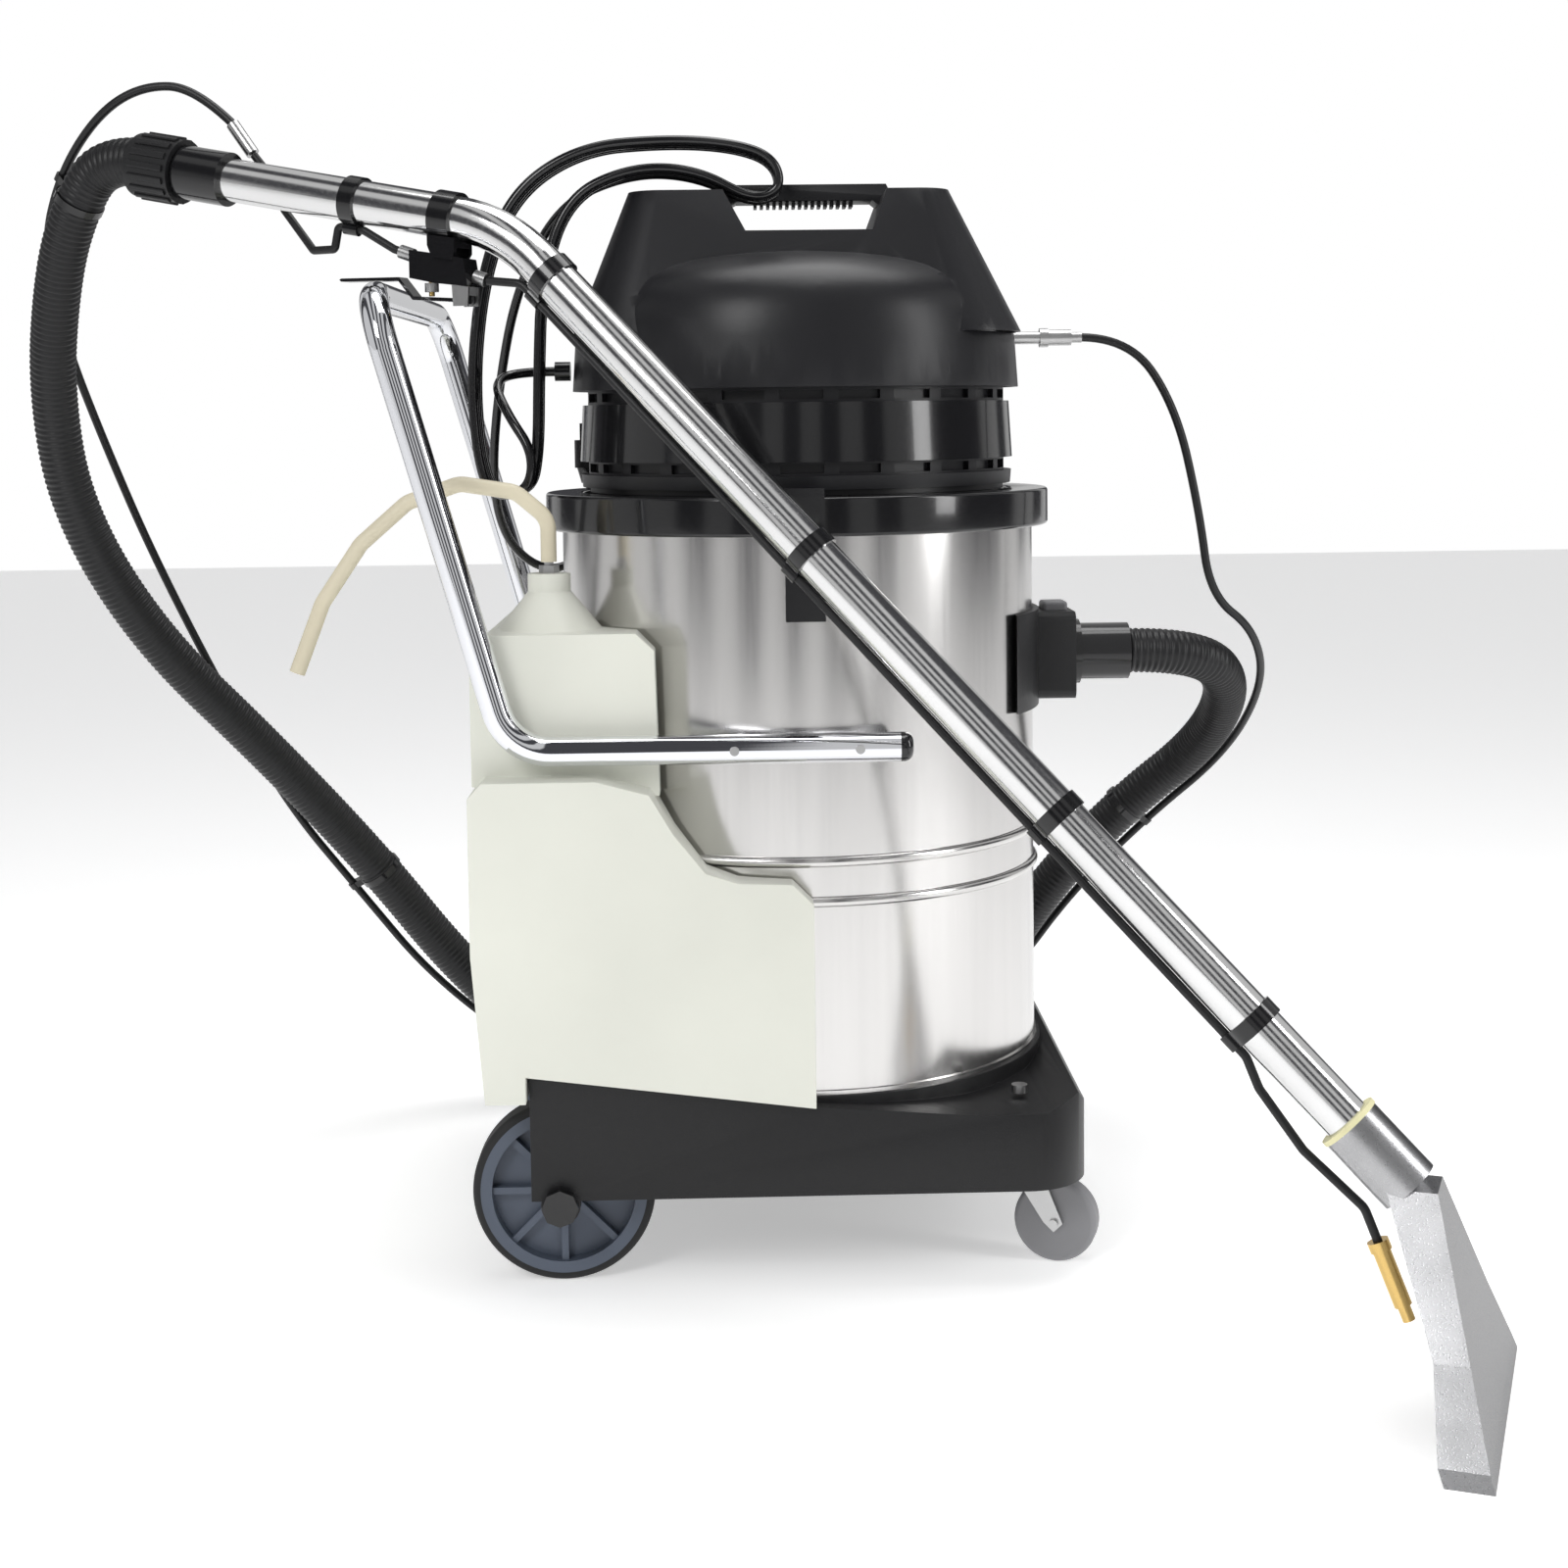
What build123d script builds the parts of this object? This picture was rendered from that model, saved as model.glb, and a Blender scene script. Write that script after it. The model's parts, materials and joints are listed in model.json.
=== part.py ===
"""Carpet cleaner machine: wheeled wet extractor with a stainless tank, hose and floor wand.

Millimetres, +Z up, +X towards the front casters. The sub-parts are drawn about the tank's
axis, and publish() moves each one so that the frame's origin is the middle of the footprint.
"""
from build123d import *
from math import atan2, cos, degrees, pi, radians, sin, sqrt, tan
import os

os.makedirs("parts", exist_ok=True)

# ---------------------------------------------------------------- driving dimensions
FRAME_SHIFT = (18.7, 196.6)      # from the middle of the footprint to the tank's axis

TANK_R = 222.0                   # stainless drum, outside
TANK_WALL = 1.5
TANK_FOOT = 166.0
TANK_TOP = 672.0
BEAD_HEIGHTS = (336.0, 371.0)
BEAD_R = 5.0

RING_R = 237.0                   # black ring round the drum's mouth
RING_LOW = 653.0
RING_TOP = 687.0

FLANGE_R = 203.0                 # motor head
FLANGE_LOW = 692.0
FLANGE_TOP = 704.0
NECK_R = 195.0
CORE_R = 196.0
BAND_LOW = 716.0
BAND_TOP = 768.0
CORE_TOP = 781.0
COVER_R = 210.0
COVER_WALL = 4.0
VALLEY_FLOOR = 922.0             # under the carrying bar
LOBE_TOP = 960.0
BAR_LOW = 956.0
BAR_TOP = 971.0

BASE_REAR = -242.0               # trolley base
BASE_FRONT = 243.0
BASE_HALF = 244.0
BASE_LOW = 84.0

WHEEL_R = 80.0
WHEEL_X = -217.0
WHEEL_Y = 190.0
WHEEL_W = 32.0
AXLE_R = 6.0

CASTER_R = 37.0
CASTER_X = 194.0
CASTER_Y = 168.0
CASTER_TRAIL = 28.0
CASTER_YAW = -18.0

HANDLE_R = 12.7                  # chrome push handle
HANDLE_HALF = 237.0
HANDLE_LOW = 473.0
HANDLE_HIGH = 863.0
HANDLE_FRONT = 80.0

SADDLE_HALF = 254.0              # white solution tank
SADDLE_WALL = 5.0
SADDLE_BORE = 227.0

INLET_Z = 528.0                  # suction inlet on the drum's front
INLET_BORE = 19.0

WAND_R = 19.0                    # stainless wand tube
WAND_BORE = 17.5
WAND_AT = (512.0, -521.0)        # middle of the nozzle's lip, on the floor
WAND_YAW = -21.9
LIP_HALF = 136.0

HOSE_R = 21.5                    # suction hose, outside its ribs
LINE_R = 3.6                     # solution hose
CORD_R = 4.4                     # power cord



def publish(name, part):
    """Label one finished sub-part, move it into the frame and write its file."""
    placed = part.moved(Location((FRAME_SHIFT[0], FRAME_SHIFT[1], 0)))
    placed.label = name
    export_step(placed, f"parts/{name}.step")


def side(y=0.0):
    """Sketch plane whose x is +X and y is +Z, seen from the near side."""
    return Plane(origin=(0, y, 0), x_dir=(1, 0, 0), z_dir=(0, -1, 0))


def level(z):
    return Plane.XY.offset(z)


def wand_plane(offset=0.0):
    """Upright plane along the wand: x runs towards the nozzle, y is +Z."""
    c, s = cos(radians(WAND_YAW)), sin(radians(WAND_YAW))
    origin = (WAND_AT[0] + s * offset, WAND_AT[1] - c * offset, 0)
    return Plane(origin=origin, x_dir=(c, s, 0), z_dir=(s, -c, 0))


def wand_point(u, z, out=0.0):
    return wand_plane(out).from_local_coords(Vector(u, z, 0))


# ---------------------------------------------------------------- trolley base
DECK = ((BASE_REAR, 194), (0, 163), (140, 152), (205, 152), (234, 164), (BASE_FRONT, 150))

with BuildPart() as base:
    with BuildSketch(side(BASE_HALF)):
        with BuildLine():
            Polyline((BASE_REAR, BASE_LOW), *DECK, (BASE_FRONT, BASE_LOW), close=True)
        make_face()
    extrude(amount=2 * BASE_HALF)
    fillet(base.edges().filter_by(Axis.Z).group_by(Axis.X)[-1], 55)
    with BuildSketch(level(140)):
        Circle(TANK_R + 5)
    extrude(amount=TANK_FOOT - 140)
    # belly pocket between the wheels and the casters
    with BuildSketch(level(BASE_LOW)):
        with Locations((15, 0)):
            Rectangle(250, 380)
    extrude(amount=50, mode=Mode.SUBTRACT)
    # pockets over the casters
    with BuildSketch(level(BASE_LOW)):
        with Locations((CASTER_X, CASTER_Y), (CASTER_X, -CASTER_Y)):
            Circle(40)
    extrude(amount=20, mode=Mode.SUBTRACT)
    # wheel wells, open at the rear
    with BuildSketch(side(BASE_HALF)):
        with Locations((WHEEL_X, WHEEL_R)):
            Circle(WHEEL_R + 8)
    extrude(amount=2 * BASE_HALF, mode=Mode.SUBTRACT)
    with BuildSketch(side(WHEEL_Y - 25)):
        with BuildLine():
            Polyline((BASE_REAR, BASE_LOW), (BASE_REAR, 184), (-116, 166), (-116, BASE_LOW), close=True)
        make_face()
    extrude(amount=2 * (WHEEL_Y - 25))
    for mid in (BASE_HALF - 5, -BASE_HALF + 5):
        with BuildSketch(side(mid + 5)):
            with BuildLine():
                Polyline((BASE_REAR, BASE_LOW), (BASE_REAR, 186), (-100, 170), (-100, BASE_LOW), close=True)
            make_face()
            with Locations((WHEEL_X, WHEEL_R)):
                Circle(17)
        extrude(amount=10)
    # seat for the drum
    with BuildSketch(level(TANK_FOOT)):
        Circle(TANK_R + 2.5)
    extrude(amount=60, mode=Mode.SUBTRACT)
    # groove and bores for the axle
    with BuildSketch(side(BASE_HALF)):
        with Locations((WHEEL_X, WHEEL_R)):
            Circle(AXLE_R + 0.05)
    extrude(amount=2 * BASE_HALF, mode=Mode.SUBTRACT)
    with BuildSketch(side(WHEEL_Y - 25)):
        with Locations((WHEEL_X, WHEEL_R - 10)):
            Rectangle(2 * AXLE_R + 0.1, 20)
    extrude(amount=2 * (WHEEL_Y - 25), mode=Mode.SUBTRACT)
publish("base", base.part)

with BuildPart() as rear_axle:
    with BuildSketch(side(BASE_HALF)):
        with Locations((WHEEL_X, WHEEL_R)):
            Circle(AXLE_R)
    extrude(amount=2 * BASE_HALF)
publish("rear_axle", rear_axle.part)

with BuildPart() as axle_caps:
    for face, grow in ((-BASE_HALF, 9), (BASE_HALF, -9)):
        with BuildSketch(side(face)):
            with Locations((WHEEL_X, WHEEL_R)):
                RegularPolygon(16, 8)
        extrude(amount=grow)
publish("axle_caps", axle_caps.part)


# ---------------------------------------------------------------- rear wheels
def rear_wheel(y_mid):
    """Spoked rim and tyre of one rear wheel."""
    hub = side(y_mid + WHEEL_W / 2)
    with BuildPart() as rim:
        with BuildSketch(hub):
            with Locations((WHEEL_X, WHEEL_R)):
                Circle(73)
                Circle(63, mode=Mode.SUBTRACT)
                Circle(17)
        extrude(amount=WHEEL_W)
        with BuildSketch(side(y_mid + 3)):
            with Locations((WHEEL_X, WHEEL_R)):
                Circle(64)
        extrude(amount=6)
        with BuildSketch(side(y_mid + 12)):
            with Locations((WHEEL_X, WHEEL_R)):
                with PolarLocations(40, 8):
                    Rectangle(50, 6)
        extrude(amount=24)
        with BuildSketch(hub):
            with Locations((WHEEL_X, WHEEL_R)):
                Circle(AXLE_R + 0.05)
        extrude(amount=WHEEL_W, mode=Mode.SUBTRACT)
    with BuildPart() as tyre:
        with BuildSketch(hub):
            with Locations((WHEEL_X, WHEEL_R)):
                Circle(WHEEL_R)
                Circle(73, mode=Mode.SUBTRACT)
        extrude(amount=WHEEL_W)
        fillet(tyre.edges().filter_by(GeomType.CIRCLE).sort_by(SortBy.RADIUS)[-2:], 5)
    return rim.part, tyre.part


for tag, y_mid in (("near", -WHEEL_Y), ("far", WHEEL_Y)):
    rim_part, tyre_part = rear_wheel(y_mid)
    publish(f"rear_rim_{tag}", rim_part)
    publish(f"rear_tyre_{tag}", tyre_part)

# ---------------------------------------------------------------- casters
PLATE_LOW = 100.0
RACE_LOW = 91.0

with BuildPart() as caster_plates:
    with BuildSketch(level(PLATE_LOW)):
        with Locations((CASTER_X, CASTER_Y), (CASTER_X, -CASTER_Y)):
            Rectangle(50, 50)
    extrude(amount=BASE_LOW + 20 - PLATE_LOW)
    with BuildSketch(level(RACE_LOW)):
        with Locations((CASTER_X, CASTER_Y), (CASTER_X, -CASTER_Y)):
            Circle(4)
    extrude(amount=PLATE_LOW - RACE_LOW)
publish("caster_plates", caster_plates.part)


def caster(y_axis):
    """Swivel fork and wheel, trailing from the swivel axis."""
    c, s = cos(radians(CASTER_YAW)), sin(radians(CASTER_YAW))

    def swivel_side(out):
        return Plane(origin=(CASTER_X + s * out, y_axis - c * out, 0), x_dir=(c, s, 0), z_dir=(s, -c, 0))

    with BuildPart() as fork:
        with BuildSketch(level(RACE_LOW - 5)):
            with Locations((CASTER_X, y_axis)):
                Circle(21)
        extrude(amount=12)
        for out in (-17.0, 14.5):
            with BuildSketch(swivel_side(out)):
                with BuildLine():
                    Polyline((-14, 88), (15, 88), (CASTER_TRAIL + 8, CASTER_R),
                             (CASTER_TRAIL, CASTER_R - 8), (CASTER_TRAIL - 9, CASTER_R), close=True)
                make_face()
            extrude(amount=2.5)
        with BuildSketch(swivel_side(-20)):
            with Locations((CASTER_TRAIL, CASTER_R)):
                Circle(4)
        extrude(amount=40)
        with BuildSketch(level(0)):
            with Locations((CASTER_X, y_axis)):
                Circle(4.05)
        extrude(amount=120, mode=Mode.SUBTRACT)
    with BuildPart() as wheel:
        with BuildSketch(swivel_side(-12)):
            with Locations((CASTER_TRAIL, CASTER_R)):
                Circle(CASTER_R)
                Circle(4.05, mode=Mode.SUBTRACT)
        extrude(amount=24)
        fillet(wheel.edges().filter_by(GeomType.CIRCLE).sort_by(SortBy.RADIUS)[-2:], 5)
    return fork.part, wheel.part


for tag, y_axis in (("near", -CASTER_Y), ("far", CASTER_Y)):
    fork_part, wheel_part = caster(y_axis)
    publish(f"caster_fork_{tag}", fork_part)
    publish(f"caster_wheel_{tag}", wheel_part)

# ---------------------------------------------------------------- recovery tank
with BuildPart() as tank:
    with BuildSketch(Plane.XZ):
        with BuildLine():
            Polyline((0, TANK_FOOT), (TANK_R, TANK_FOOT), (TANK_R, TANK_TOP), (TANK_R - TANK_WALL, TANK_TOP),
                     (TANK_R - TANK_WALL, TANK_FOOT + 2), (0, TANK_FOOT + 2), close=True)
        make_face()
        with Locations(*[(TANK_R - 1, z) for z in BEAD_HEIGHTS]):
            Circle(BEAD_R)
        with Locations(*[(TANK_R - 3, z) for z in BEAD_HEIGHTS]):
            Circle(BEAD_R - 1, mode=Mode.SUBTRACT)
        with Locations((TANK_R, TANK_FOOT + 2)):
            Rectangle(4, 4)
    revolve(axis=Axis.Z)
    with BuildSketch(Plane.YZ):
        with Locations((0, INLET_Z)):
            Circle(INLET_BORE + 3)
    extrude(amount=TANK_R + 20, mode=Mode.SUBTRACT)
publish("tank", tank.part)

with BuildPart() as tank_ring:
    with BuildSketch(Plane.XZ):
        with BuildLine():
            Polyline((TANK_R, RING_LOW), (RING_R, RING_LOW), (RING_R, RING_TOP), (TANK_R - 20, RING_TOP),
                     (TANK_R - 20, TANK_TOP), (TANK_R, TANK_TOP), close=True)
        make_face()
    revolve(axis=Axis.Z)
    fillet(tank_ring.edges().filter_by(GeomType.CIRCLE).group_by(SortBy.RADIUS)[-1], 3)
publish("tank_ring", tank_ring.part)

# ---------------------------------------------------------------- over-centre latches
LATCH_HALF = 17.0
LATCH_PIVOT_Z = 588.0
LATCH_PIVOT_Y = 236.0
LATCH_PIN_R = 3.0


with BuildPart() as near_bracket:
    with BuildSketch(Plane.YZ.offset(-LATCH_HALF + 4)):
        with BuildLine():
            Polyline((-TANK_R - 0.2, 584), (-236, 582.2), (-241.6, 585), (-241.6, 591), (-236, 596),
                     (-TANK_R - 0.2, 600), close=True)
        make_face()
    extrude(amount=2 * LATCH_HALF - 8)
    with BuildSketch(Plane.XY.offset(560)):
        Circle(TANK_R)
    extrude(amount=60, mode=Mode.SUBTRACT)
    with BuildSketch(Plane.YZ.offset(-LATCH_HALF)):
        with Locations((-LATCH_PIVOT_Y, LATCH_PIVOT_Z)):
            Circle(LATCH_PIN_R)
    extrude(amount=2 * LATCH_HALF)
latch_brackets = Compound([near_bracket.part.solid(), mirror(near_bracket.part, about=Plane.XZ).solid()])
publish("latch_brackets", latch_brackets)

with BuildPart() as near_latch:
    with BuildSketch(Plane.YZ.offset(-LATCH_HALF)):
        with BuildLine():
            Polyline((-237.6, 604), (-237.6, RING_TOP + 0.4), (-224, RING_TOP + 0.4), (-224, 693), (-244, 695),
                     (-249, 688), (-249, 582), (-243, 582), (-243, 602), close=True)
        make_face()
    extrude(amount=2 * LATCH_HALF)
    for x_face in (-LATCH_HALF, LATCH_HALF - 3.7):
        with BuildSketch(Plane.YZ.offset(x_face)):
            with BuildLine():
                Polyline((-243.5, 604), (-229, 594), (-229, 584), (-243.5, 582), close=True)
            make_face()
        extrude(amount=3.7)
    with BuildSketch(Plane.YZ.offset(-LATCH_HALF)):
        with Locations((-LATCH_PIVOT_Y, LATCH_PIVOT_Z)):
            Circle(LATCH_PIN_R + 0.05)
    extrude(amount=2 * LATCH_HALF, mode=Mode.SUBTRACT)
publish("latch_near", near_latch.part)
publish("latch_far", mirror(near_latch.part, about=Plane.XZ))

# ---------------------------------------------------------------- suction inlet
INLET_BACK = TANK_R + 6
INLET_FRONT = 260.0
CUFF_END = 315.0
BUTTON_X = 244.0

with BuildPart() as inlet_housing:
    with BuildSketch(level(INLET_Z - 45)):
        Circle(INLET_BACK)
        Circle(TANK_R, mode=Mode.SUBTRACT)
        with Locations((-60, 0)):
            Rectangle(510, 2 * INLET_BACK, mode=Mode.SUBTRACT)
    extrude(amount=90)
    with BuildSketch(Plane.YZ.offset(TANK_R - 8)):
        with Locations((0, INLET_Z)):
            RectangleRounded(86, 82, 9)
    extrude(amount=INLET_FRONT - TANK_R + 8)
    with BuildSketch(level(INLET_Z - 60)):
        Circle(TANK_R)
    extrude(amount=120, mode=Mode.SUBTRACT)
    with BuildSketch(Plane.YZ):
        with Locations((0, INLET_Z)):
            Circle(INLET_BORE)
    extrude(amount=INLET_FRONT + 10, mode=Mode.SUBTRACT)
    with BuildSketch(level(INLET_Z + 29)):
        with Locations((BUTTON_X, 0)):
            RectangleRounded(24.6, 30.6, 4.3)
    extrude(amount=20, mode=Mode.SUBTRACT)
publish("inlet_housing", inlet_housing.part)

with BuildPart() as inlet_button:
    with BuildSketch(level(INLET_Z + 34)):
        with Locations((BUTTON_X, 0)):
            RectangleRounded(24, 30, 4)
    extrude(amount=15)
    fillet(inlet_button.edges().group_by(Axis.Z)[-1], 3)
publish("inlet_button", inlet_button.part)

with BuildPart() as inlet_cuff:
    with BuildSketch(Plane.YZ.offset(INLET_FRONT)):
        with Locations((0, INLET_Z)):
            Circle(27)
            Circle(INLET_BORE, mode=Mode.SUBTRACT)
    extrude(amount=CUFF_END - INLET_FRONT)
    with BuildSketch(Plane.YZ.offset(INLET_FRONT)):
        with Locations((0, INLET_Z)):
            Circle(31)
            Circle(26, mode=Mode.SUBTRACT)
    extrude(amount=8)
publish("inlet_cuff", inlet_cuff.part)

# ---------------------------------------------------------------- push handle
LEG_FOOT = (-254.0, HANDLE_LOW)
LEG_HEAD = (-364.0, HANDLE_HIGH)
RIVET_XS = (45.0, -62.0)

with BuildPart() as push_handle:
    with BuildLine():
        FilletPolyline((HANDLE_FRONT, -HANDLE_HALF, HANDLE_LOW), (LEG_FOOT[0], -HANDLE_HALF, LEG_FOOT[1]),
                       (LEG_HEAD[0], -HANDLE_HALF, LEG_HEAD[1]), (LEG_HEAD[0], HANDLE_HALF, LEG_HEAD[1]),
                       (LEG_FOOT[0], HANDLE_HALF, LEG_FOOT[1]), (HANDLE_FRONT, HANDLE_HALF, HANDLE_LOW),
                       radius=48)
    with BuildSketch(Plane(origin=(HANDLE_FRONT, -HANDLE_HALF, HANDLE_LOW), x_dir=(0, 1, 0), z_dir=(-1, 0, 0))):
        Circle(HANDLE_R)
        Circle(HANDLE_R - 1.5, mode=Mode.SUBTRACT)
    sweep()
publish("push_handle", push_handle.part)

with BuildPart() as handle_plugs:
    for y in (-HANDLE_HALF, HANDLE_HALF):
        with BuildSketch(Plane.YZ.offset(HANDLE_FRONT)):
            with Locations((y, HANDLE_LOW)):
                Circle(HANDLE_R)
        extrude(amount=11)
    fillet(handle_plugs.edges().filter_by(GeomType.CIRCLE).group_by(Axis.X)[-1], 8)
publish("handle_plugs", handle_plugs.part)

with BuildPart() as handle_brackets:
    for x in RIVET_XS:
        with BuildSketch(side(-200)):
            with Locations((x, HANDLE_LOW)):
                Circle(9)
        extrude(amount=HANDLE_HALF - 200)
    with BuildSketch(level(HANDLE_LOW - 30)):
        Circle(TANK_R)
    extrude(amount=60, mode=Mode.SUBTRACT)
    with BuildSketch(Plane.YZ.offset(-100)):
        with Locations((-HANDLE_HALF, HANDLE_LOW)):
            Circle(HANDLE_R)
    extrude(amount=200, mode=Mode.SUBTRACT)
    mirror(about=Plane.XZ)
publish("handle_brackets", handle_brackets.part)

with BuildPart() as fasteners:
    for sign in (-1, 1):
        for x in RIVET_XS:
            with BuildSketch(side(sign * (HANDLE_HALF + HANDLE_R))):
                with Locations((x, HANDLE_LOW)):
                    Circle(4)
            extrude(amount=-sign * 2.2)
        with BuildSketch(level(156)):
            with Locations((186, sign * 190)):
                Circle(7)
        extrude(amount=7)
publish("fasteners", fasteners.part)

# ---------------------------------------------------------------- solution tank
LOWER_BLOCK = ((-279, 172), (-289, 300), (-289, 436), (-277, 449), (-180, 449), (-135, 437), (-115, 403),
               (-88, 369), (-60, 360), (-14, 358), (4, 340), (4, 163.6), (-244, 195.4), (-244, 172))
UPPER_BLOCK = ((-289, 440), (-289, 556), (-276, 571), (-146, 571), (-130, 556), (-127, 430))
SADDLE_TOP_HALF = 216.0
NECK_AT = (-224.0, -150.0)


def saddle(inset):
    """The tank's outer shape, or the space inside its walls."""
    with BuildPart() as body:
        for outline, half in ((LOWER_BLOCK, SADDLE_HALF), (UPPER_BLOCK, SADDLE_TOP_HALF)):
            with BuildSketch(side(half - inset)):
                with BuildLine():
                    Polyline(*outline, close=True)
                make_face()
                if inset:
                    offset(amount=-inset, kind=Kind.INTERSECTION)
            extrude(amount=2 * (half - inset))
        with BuildSketch(level(100)):
            Circle(SADDLE_BORE + inset)
        extrude(amount=600, mode=Mode.SUBTRACT)
    return body.part


with BuildPart() as solution_tank:
    add(saddle(0))
    with BuildSketch(level(571)):
        with Locations(NECK_AT):
            Circle(46)
    with BuildSketch(level(604)):
        with Locations(NECK_AT):
            Circle(19)
    loft()
    with BuildSketch(level(604)):
        with Locations(NECK_AT):
            Circle(19)
    extrude(amount=16)
    with BuildSketch(level(100)):
        Circle(SADDLE_BORE)
    extrude(amount=600, mode=Mode.SUBTRACT)
    add(saddle(SADDLE_WALL), mode=Mode.SUBTRACT)
    with BuildSketch(level(560)):
        with Locations(NECK_AT):
            Circle(6)
    extrude(amount=80, mode=Mode.SUBTRACT)
publish("solution_tank", solution_tank.part)

with BuildPart() as tank_barb:
    with BuildSketch(level(590)):
        with Locations(NECK_AT):
            Circle(6)
    extrude(amount=30)
    with BuildSketch(level(620)):
        with Locations(NECK_AT):
            RegularPolygon(9, 6)
    extrude(amount=7)
    with BuildSketch(level(627)):
        with Locations(NECK_AT):
            Circle(4)
    extrude(amount=12)
publish("tank_barb", tank_barb.part)

with BuildPart() as drain_hose:
    with BuildLine() as drain_line:
        FilletPolyline((NECK_AT[0], NECK_AT[1], 630), (-224, -150, 668), (-252, -151, 692), (-301, -153, 700),
                       (-347, -155, 684), (-388, -158, 648), (-422, -162, 597), (-445, -166, 536), radius=22)
    with BuildSketch(level(630)):
        with Locations(NECK_AT):
            Circle(7)
            Circle(4, mode=Mode.SUBTRACT)
    sweep(path=drain_line.line)
publish("drain_hose", drain_hose.part)

# ---------------------------------------------------------------- motor head
with BuildPart() as head_flange:
    with BuildSketch(Plane.XZ):
        with BuildLine():
            Polyline((NECK_R - 12, RING_TOP), (NECK_R, RING_TOP), (NECK_R, FLANGE_LOW), (FLANGE_R - 1, FLANGE_LOW),
                     (FLANGE_R, FLANGE_TOP), (0, FLANGE_TOP), (0, FLANGE_LOW), (NECK_R - 12, FLANGE_LOW), close=True)
        make_face()
    revolve(axis=Axis.Z)
    with BuildSketch(level(FLANGE_LOW)):
        with Locations((95, 0), (-95, 0)):
            Circle(22)
    extrude(amount=FLANGE_TOP - FLANGE_LOW, mode=Mode.SUBTRACT)
publish("head_flange", head_flange.part)

VENT_COUNT = 24
with BuildPart() as vent_core:
    with BuildSketch(level(FLANGE_TOP)):
        Circle(CORE_R)
        Circle(CORE_R - 9, mode=Mode.SUBTRACT)
    extrude(amount=CORE_TOP - FLANGE_TOP)
    for z in ((FLANGE_TOP + BAND_LOW) / 2, (BAND_TOP + CORE_TOP) / 2):
        with BuildSketch(level(z - 4)):
            with PolarLocations(CORE_R - 2, VENT_COUNT):
                Rectangle(8, 38)
        extrude(amount=8, mode=Mode.SUBTRACT)
publish("vent_core", vent_core.part)

with BuildPart() as gloss_band:
    with BuildSketch(Plane.XZ):
        with BuildLine():
            Polyline((CORE_R, BAND_LOW), (204, BAND_LOW), (201, BAND_TOP), (CORE_R, BAND_TOP), close=True)
        make_face()
    revolve(axis=Axis.Z)
publish("gloss_band", gloss_band.part)


def head_form(inset):
    """Outer form of the cover, or the space inside it: a domed skirt under two lobes."""
    with BuildPart() as form:
        with BuildSketch(Plane.XZ):
            with BuildLine():
                Polyline((0, CORE_TOP), (COVER_R - inset, CORE_TOP), (COVER_R - 3 - inset, 825))
                Spline((COVER_R - 3 - inset, 825), (198 - inset, 862 - inset), (176 - inset, 886 - inset),
                       (120, 903 - inset), (0, 908 - inset), tangents=((-0.1, 1), (-1, 0)))
                Line((0, 908 - inset), (0, CORE_TOP))
            make_face()
        revolve(axis=Axis.Z)
        with BuildSketch(level(830)):
            RectangleRounded(2 * (203 - inset), 2 * (150 - inset), 60)
        with BuildSketch(level(LOBE_TOP - inset)):
            with Locations((-6, 0)):
                RectangleRounded(2 * (146 - inset), 2 * (98 - inset), 30)
        loft()
        with BuildSketch(side(220)):
            with BuildLine():
                Polyline((-66 - inset, 1000), (-66 - inset, LOBE_TOP), (-46 - inset, VALLEY_FLOOR - inset),
                         (68 + inset, VALLEY_FLOOR - inset), (82 + inset, LOBE_TOP), (82 + inset, 1000), close=True)
            make_face()
        extrude(amount=440, mode=Mode.SUBTRACT)
    return form.part


with BuildPart() as head_cover:
    add(head_form(0))
    add(head_form(COVER_WALL), mode=Mode.SUBTRACT)
    # carrying bar with comb teeth under it
    with BuildSketch(side(24)):
        with BuildLine():
            Polyline((-82, LOBE_TOP - 8), (-72, BAR_TOP), (86, BAR_TOP), (96, LOBE_TOP - 8), (78, LOBE_TOP - 8),
                     (73, BAR_LOW), (-54, BAR_LOW), (-62, LOBE_TOP - 8), close=True)
        make_face()
    extrude(amount=48)
    with BuildSketch(level(BAR_LOW - 5)):
        with Locations((9, 0)):
            with GridLocations(6, 1, 16, 1):
                Rectangle(3, 30)
    extrude(amount=5)
    # solution outlet and cord gland
    with BuildSketch(Plane.YZ):
        with Locations((0, 827)):
            Circle(6)
    extrude(amount=240, mode=Mode.SUBTRACT)
publish("head_cover", head_cover.part)

with BuildPart() as vacuum_motors:
    with BuildSketch(level(FLANGE_TOP)):
        with Locations((95, 0), (-95, 0)):
            Circle(68)
            Circle(15, mode=Mode.SUBTRACT)
    extrude(amount=60)
    with BuildSketch(level(FLANGE_TOP + 60)):
        with Locations((95, 0), (-95, 0)):
            Circle(45)
            Circle(15, mode=Mode.SUBTRACT)
    extrude(amount=55)
publish("vacuum_motors", vacuum_motors.part)

with BuildPart() as solution_pump:
    with BuildSketch(level(FLANGE_TOP)):
        with Locations((0, 120)):
            Rectangle(70, 62)
    extrude(amount=50)
    with BuildSketch(side(151)):
        with Locations((0, FLANGE_TOP + 76)):
            Circle(26)
    extrude(amount=62)
publish("solution_pump", solution_pump.part)

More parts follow.
